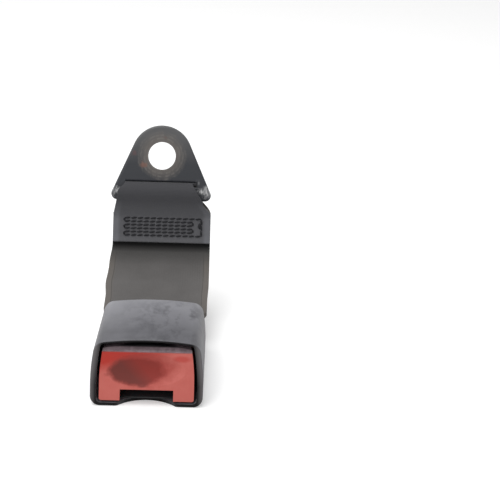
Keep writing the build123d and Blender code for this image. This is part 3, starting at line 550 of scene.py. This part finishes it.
shader = node(
    weave,
    "BsdfPrincipled",
    {
        "Base Color": tone,
        "Roughness": 0.85,
        "Specular IOR Level": 0.25,
        "Normal": relief,
        "Sheen Weight": 0.1,
        "Sheen Roughness": 0.4,
    },
)
node(weave, "OutputMaterial", {"Surface": shader}, None)

# Bonded polyester thread, dyed black, twisted from plies and rubbed dull
ply_spacing = 0.7 * MM
black_thread = new_material("bonded_thread")
place_on = node(black_thread, "TexCoord", out="Object")
plies = node(
    black_thread,
    "TexWave",
    {"Vector": place_on, "Scale": wave_length / ply_spacing},
    1,
    bands_direction="DIAGONAL",
)
relief = node(black_thread, "Bump", {"Height": plies, "Strength": 0.5, "Distance": 0.1 * MM})
shader = node(
    black_thread,
    "BsdfPrincipled",
    {"Base Color": "#242427", "Roughness": 0.8, "Specular IOR Level": 0.2, "Normal": relief},
)
node(black_thread, "OutputMaterial", {"Surface": shader}, None)

# Steel plate, stoved with black enamel: paler towards the top, with a ring worn by a washer, specks of rust
# beside the hole and the lower corners rubbed to bare metal
patch_size = 3.846 * MM
scratch_size = 1.613 * MM
turning_pitch = 1.5 * MM
paler_above = -4 * MM, 9 * MM
washer_reach = 9.6
ring_reach = 11.0
ring_ragged = 2.4
enamel = new_material("enamelled_steel_plate")
place_on = node(enamel, "TexCoord", out="Object")
bolt = anchor_bar + Vector((0, cos(plate_lean), sin(plate_lean))) * bolt_to_bar
on_plate = node(
    enamel,
    "Mapping",
    {"Vector": place_on, "Location": bolt, "Rotation": (plate_lean, 0, 0)},
    vector_type="TEXTURE",
)
patchy = node(enamel, "TexNoise", {"Vector": place_on, "Scale": 1 / patch_size, "Detail": 6.0, "Roughness": 0.68})


def near(middle, reach, ragged, most, soft=0.8):
    """How much wear a point of the plate has: the most near the middle of the patch, 0 beyond its reach."""
    moved = node(enamel, "VectorMath", {0: on_plate, 1: Vector(middle) * MM}, operation="SUBTRACT")
    flat = node(enamel, "VectorMath", {0: moved, 1: (1, 1, 0)}, operation="MULTIPLY")
    away = node(enamel, "VectorMath", {0: flat}, "Value", operation="LENGTH")
    away = node(enamel, "Math", {0: patchy, 1: 2 * ragged * MM, 2: away}, operation="MULTIPLY_ADD")
    reach += ragged
    return node(enamel, "MapRange", {0: away, 1: (reach + soft) * MM, 2: (reach - soft) * MM, 4: most})


slanted = node(enamel, "Mapping", {"Vector": on_plate, "Rotation": (0, 0, radians(-24)), "Scale": (1.0, 0.3, 1.0)})
scratches = node(
    enamel, "TexNoise", {"Vector": slanted, "Scale": 1 / scratch_size, "Detail": 4.0, "Roughness": 0.6}
)
scratches = node(enamel, "MapRange", {0: scratches, 1: 0.44, 2: 0.6})
bare = node(enamel, "Mix", {0: scratches, 6: "#5a5b5e", 7: "#c2c2c2"}, 2, data_type="RGBA")
up_plate = node(enamel, "SeparateXYZ", {0: on_plate}, 1)
# paler towards the top of the plate
higher = node(enamel, "MapRange", {0: up_plate, 1: paler_above[0], 2: paler_above[1]})
tone = node(enamel, "Mix", {0: higher, 6: "#2a2c31", 7: "#515152"}, 2, data_type="RGBA")
washer = near((0, 0, 0), washer_reach, ring_ragged, 0.85, ring_ragged)
tone = node(enamel, "Mix", {0: washer, 6: tone, 7: "#5f5a56"}, 2, data_type="RGBA")
turned = node(
    enamel,
    "TexWave",
    {"Vector": on_plate, "Scale": wave_length / turning_pitch},
    1,
    wave_type="RINGS",
    rings_direction="Z",
)
ring = near((0, 0, 0), ring_reach, ring_ragged, 0.35)
turned = node(enamel, "Math", {0: turned, 1: ring}, operation="MULTIPLY")
turned = node(enamel, "Math", {0: turned, 1: scratches}, operation="MULTIPLY")
tone = node(enamel, "Mix", {0: turned, 6: tone, 7: "#7c7873"}, 2, data_type="RGBA")
# each patch from the middle of the bolt hole, in millimetres: rust first, then bare corners
for middle, reach, ragged, most, colour in (
    ((-9.0, -1.6, 0), 0.2, 4.4, 0.5, "#704b3f"),
    ((-8.6, -4.8, 0), 0.4, 4.4, 0.55, "#7c5040"),
    ((-12.6, 0.8, 0), 0.6, 3.8, 0.5, "#5f4040"),
    ((1.5, 8.6, 0), 0.6, 3.2, 0.5, "#64483c"),
    ((-22.6, -16.6, 0), 2.0, 6.0, 0.9, bare),
    ((21.3, -16.6, 0), 2.6, 6.0, 0.9, bare),
    ((17.5, -12.5, 0), 0.6, 4.0, 0.6, bare),
):
    tone = node(enamel, "Mix", {0: near(middle, reach, ragged, most), 6: tone, 7: colour}, 2, data_type="RGBA")
relief = node(enamel, "Bump", {"Height": patchy, "Strength": 0.2, "Distance": 0.2 * MM})
dull = node(enamel, "MapRange", {0: patchy, 3: 0.42, 4: 0.6})
shader = node(
    enamel,
    "BsdfPrincipled",
    {"Base Color": tone, "Roughness": dull, "Specular IOR Level": 0.4, "Normal": relief},
)
node(enamel, "OutputMaterial", {"Surface": shader}, None)

# Pressed steel, zinc plated and passivated: a pale grey with a broken, dull shine
spangle_size = 3.846 * MM
zinc = new_material("zinc_plated_steel")
place_on = node(zinc, "TexCoord", out="Object")
spangle = node(zinc, "TexNoise", {"Vector": place_on, "Scale": 1 / spangle_size, "Detail": 4.0})
tone = node(zinc, "Mix", {0: spangle, 6: "#a5a296", 7: "#c9c6bb"}, 2, data_type="RGBA")
dull = node(zinc, "MapRange", {0: spangle, 3: 0.3, 4: 0.5})
shader = node(zinc, "BsdfPrincipled", {"Base Color": tone, "Roughness": dull, "Metallic": 1.0})
node(zinc, "OutputMaterial", {"Surface": shader}, None)

# Hardened spring and pin steel, ground bright: its grinding marks are drawn coarser so that they show
ground_size = 1.111 * MM
bright = new_material("ground_steel")
place_on = node(bright, "TexCoord", out="Object")
ground = node(bright, "TexNoise", {"Vector": place_on, "Scale": 1 / ground_size, "Detail": 3.0})
tone = node(bright, "Mix", {0: ground, 6: "#8d9094", 7: "#b4b6b9"}, 2, data_type="RGBA")
dull = node(bright, "MapRange", {0: ground, 3: 0.22, 4: 0.38})
shader = node(bright, "BsdfPrincipled", {"Base Color": tone, "Roughness": dull, "Metallic": 1.0})
node(bright, "OutputMaterial", {"Surface": shader}, None)

for name, finish in {
    "upper_cover": cover,
    "lower_cover": cover,
    "tongue_guide": acetal,
    "ejector": acetal,
    "push_button": button,
    "buckle_frame": zinc,
    "spring_bridge": zinc,
    "latch": bright,
    "latch_pivot_pin": bright,
    "pivot_clip_left": bright,
    "pivot_clip_right": bright,
    "latch_spring": bright,
    "release_pin": bright,
    "button_spring_left": bright,
    "button_spring_right": bright,
    "ejector_spring": bright,
    "anchor_plate": enamel,
}.items():
    dress(name, finish)
webbing_strap.data.materials.append(weave)
for stitches in (stitching_front, stitching_back):
    stitches.data.materials.append(black_thread)

# ---- What rides on what ----
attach(webbing_strap, "strap")
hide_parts("webbing")
for stitches in (stitching_front, stitching_back):
    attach(stitches, "strap")

# ---- Floor and light ----
floor_half = 6.0
ground_mesh = bmesh.new()
bmesh.ops.create_grid(ground_mesh, x_segments=1, y_segments=1, size=floor_half)
floor_mesh = bpy.data.meshes.new("floor")
ground_mesh.to_mesh(floor_mesh)
ground_mesh.free()
floor = bpy.data.objects.new("floor", floor_mesh)
bpy.context.scene.collection.objects.link(floor)
# White laminate, pressed smooth and matt: it glows a little to the camera alone, so that it reads as white
paper = new_material("white_table_top")
seen = node(paper, "LightPath", out="Is Camera Ray")
glow = node(paper, "Math", {0: seen, 1: 0.3}, operation="MULTIPLY")
shader = node(
    paper,
    "BsdfPrincipled",
    {
        "Base Color": "#e9e9e9",
        "Roughness": 0.9,
        "Emission Color": (1, 1, 1, 1),
        "Emission Strength": glow,
    },
)
node(paper, "OutputMaterial", {"Surface": shader}, None)
floor_mesh.materials.append(paper)

# The world is white to the camera and in reflections, and gives the object less light than that
lit_level = 0.55
world = bpy.data.worlds.new("studio")
bpy.context.scene.world = world
world.use_nodes = True
world.node_tree.nodes.clear()
rays = node(world, "LightPath", out=None)
seen = node(world, "Math", {0: rays["Is Camera Ray"], 1: rays["Is Glossy Ray"]}, operation="MAXIMUM")
level = node(world, "MapRange", {0: seen, 3: lit_level, 4: 1.0})
sky = node(world, "Background", {"Color": (1, 1, 1, 1), "Strength": level})
node(world, "OutputWorld", {"Surface": sky}, None)


def softbox(name, place, target, size, power):
    """A square studio lamp turned towards a point."""
    light = bpy.data.lights.new(name, "AREA")
    light.shape = "SQUARE"
    light.size = size
    light.energy = power
    lamp = bpy.data.objects.new(name, light)
    bpy.context.scene.collection.objects.link(lamp)
    lamp.location = place
    lamp.rotation_euler = (Vector(target) - Vector(place)).to_track_quat("-Z", "Y").to_euler()


middle_of_part = (0, 0.03, 0.03)
softbox("softbox_above", (-0.25, 0.1, 0.95), middle_of_part, size=0.7, power=6.0)
softbox("softbox_front", (-0.5, -0.8, 0.6), middle_of_part, size=0.5, power=2.5)

bpy.context.scene.view_settings.view_transform = "Standard"
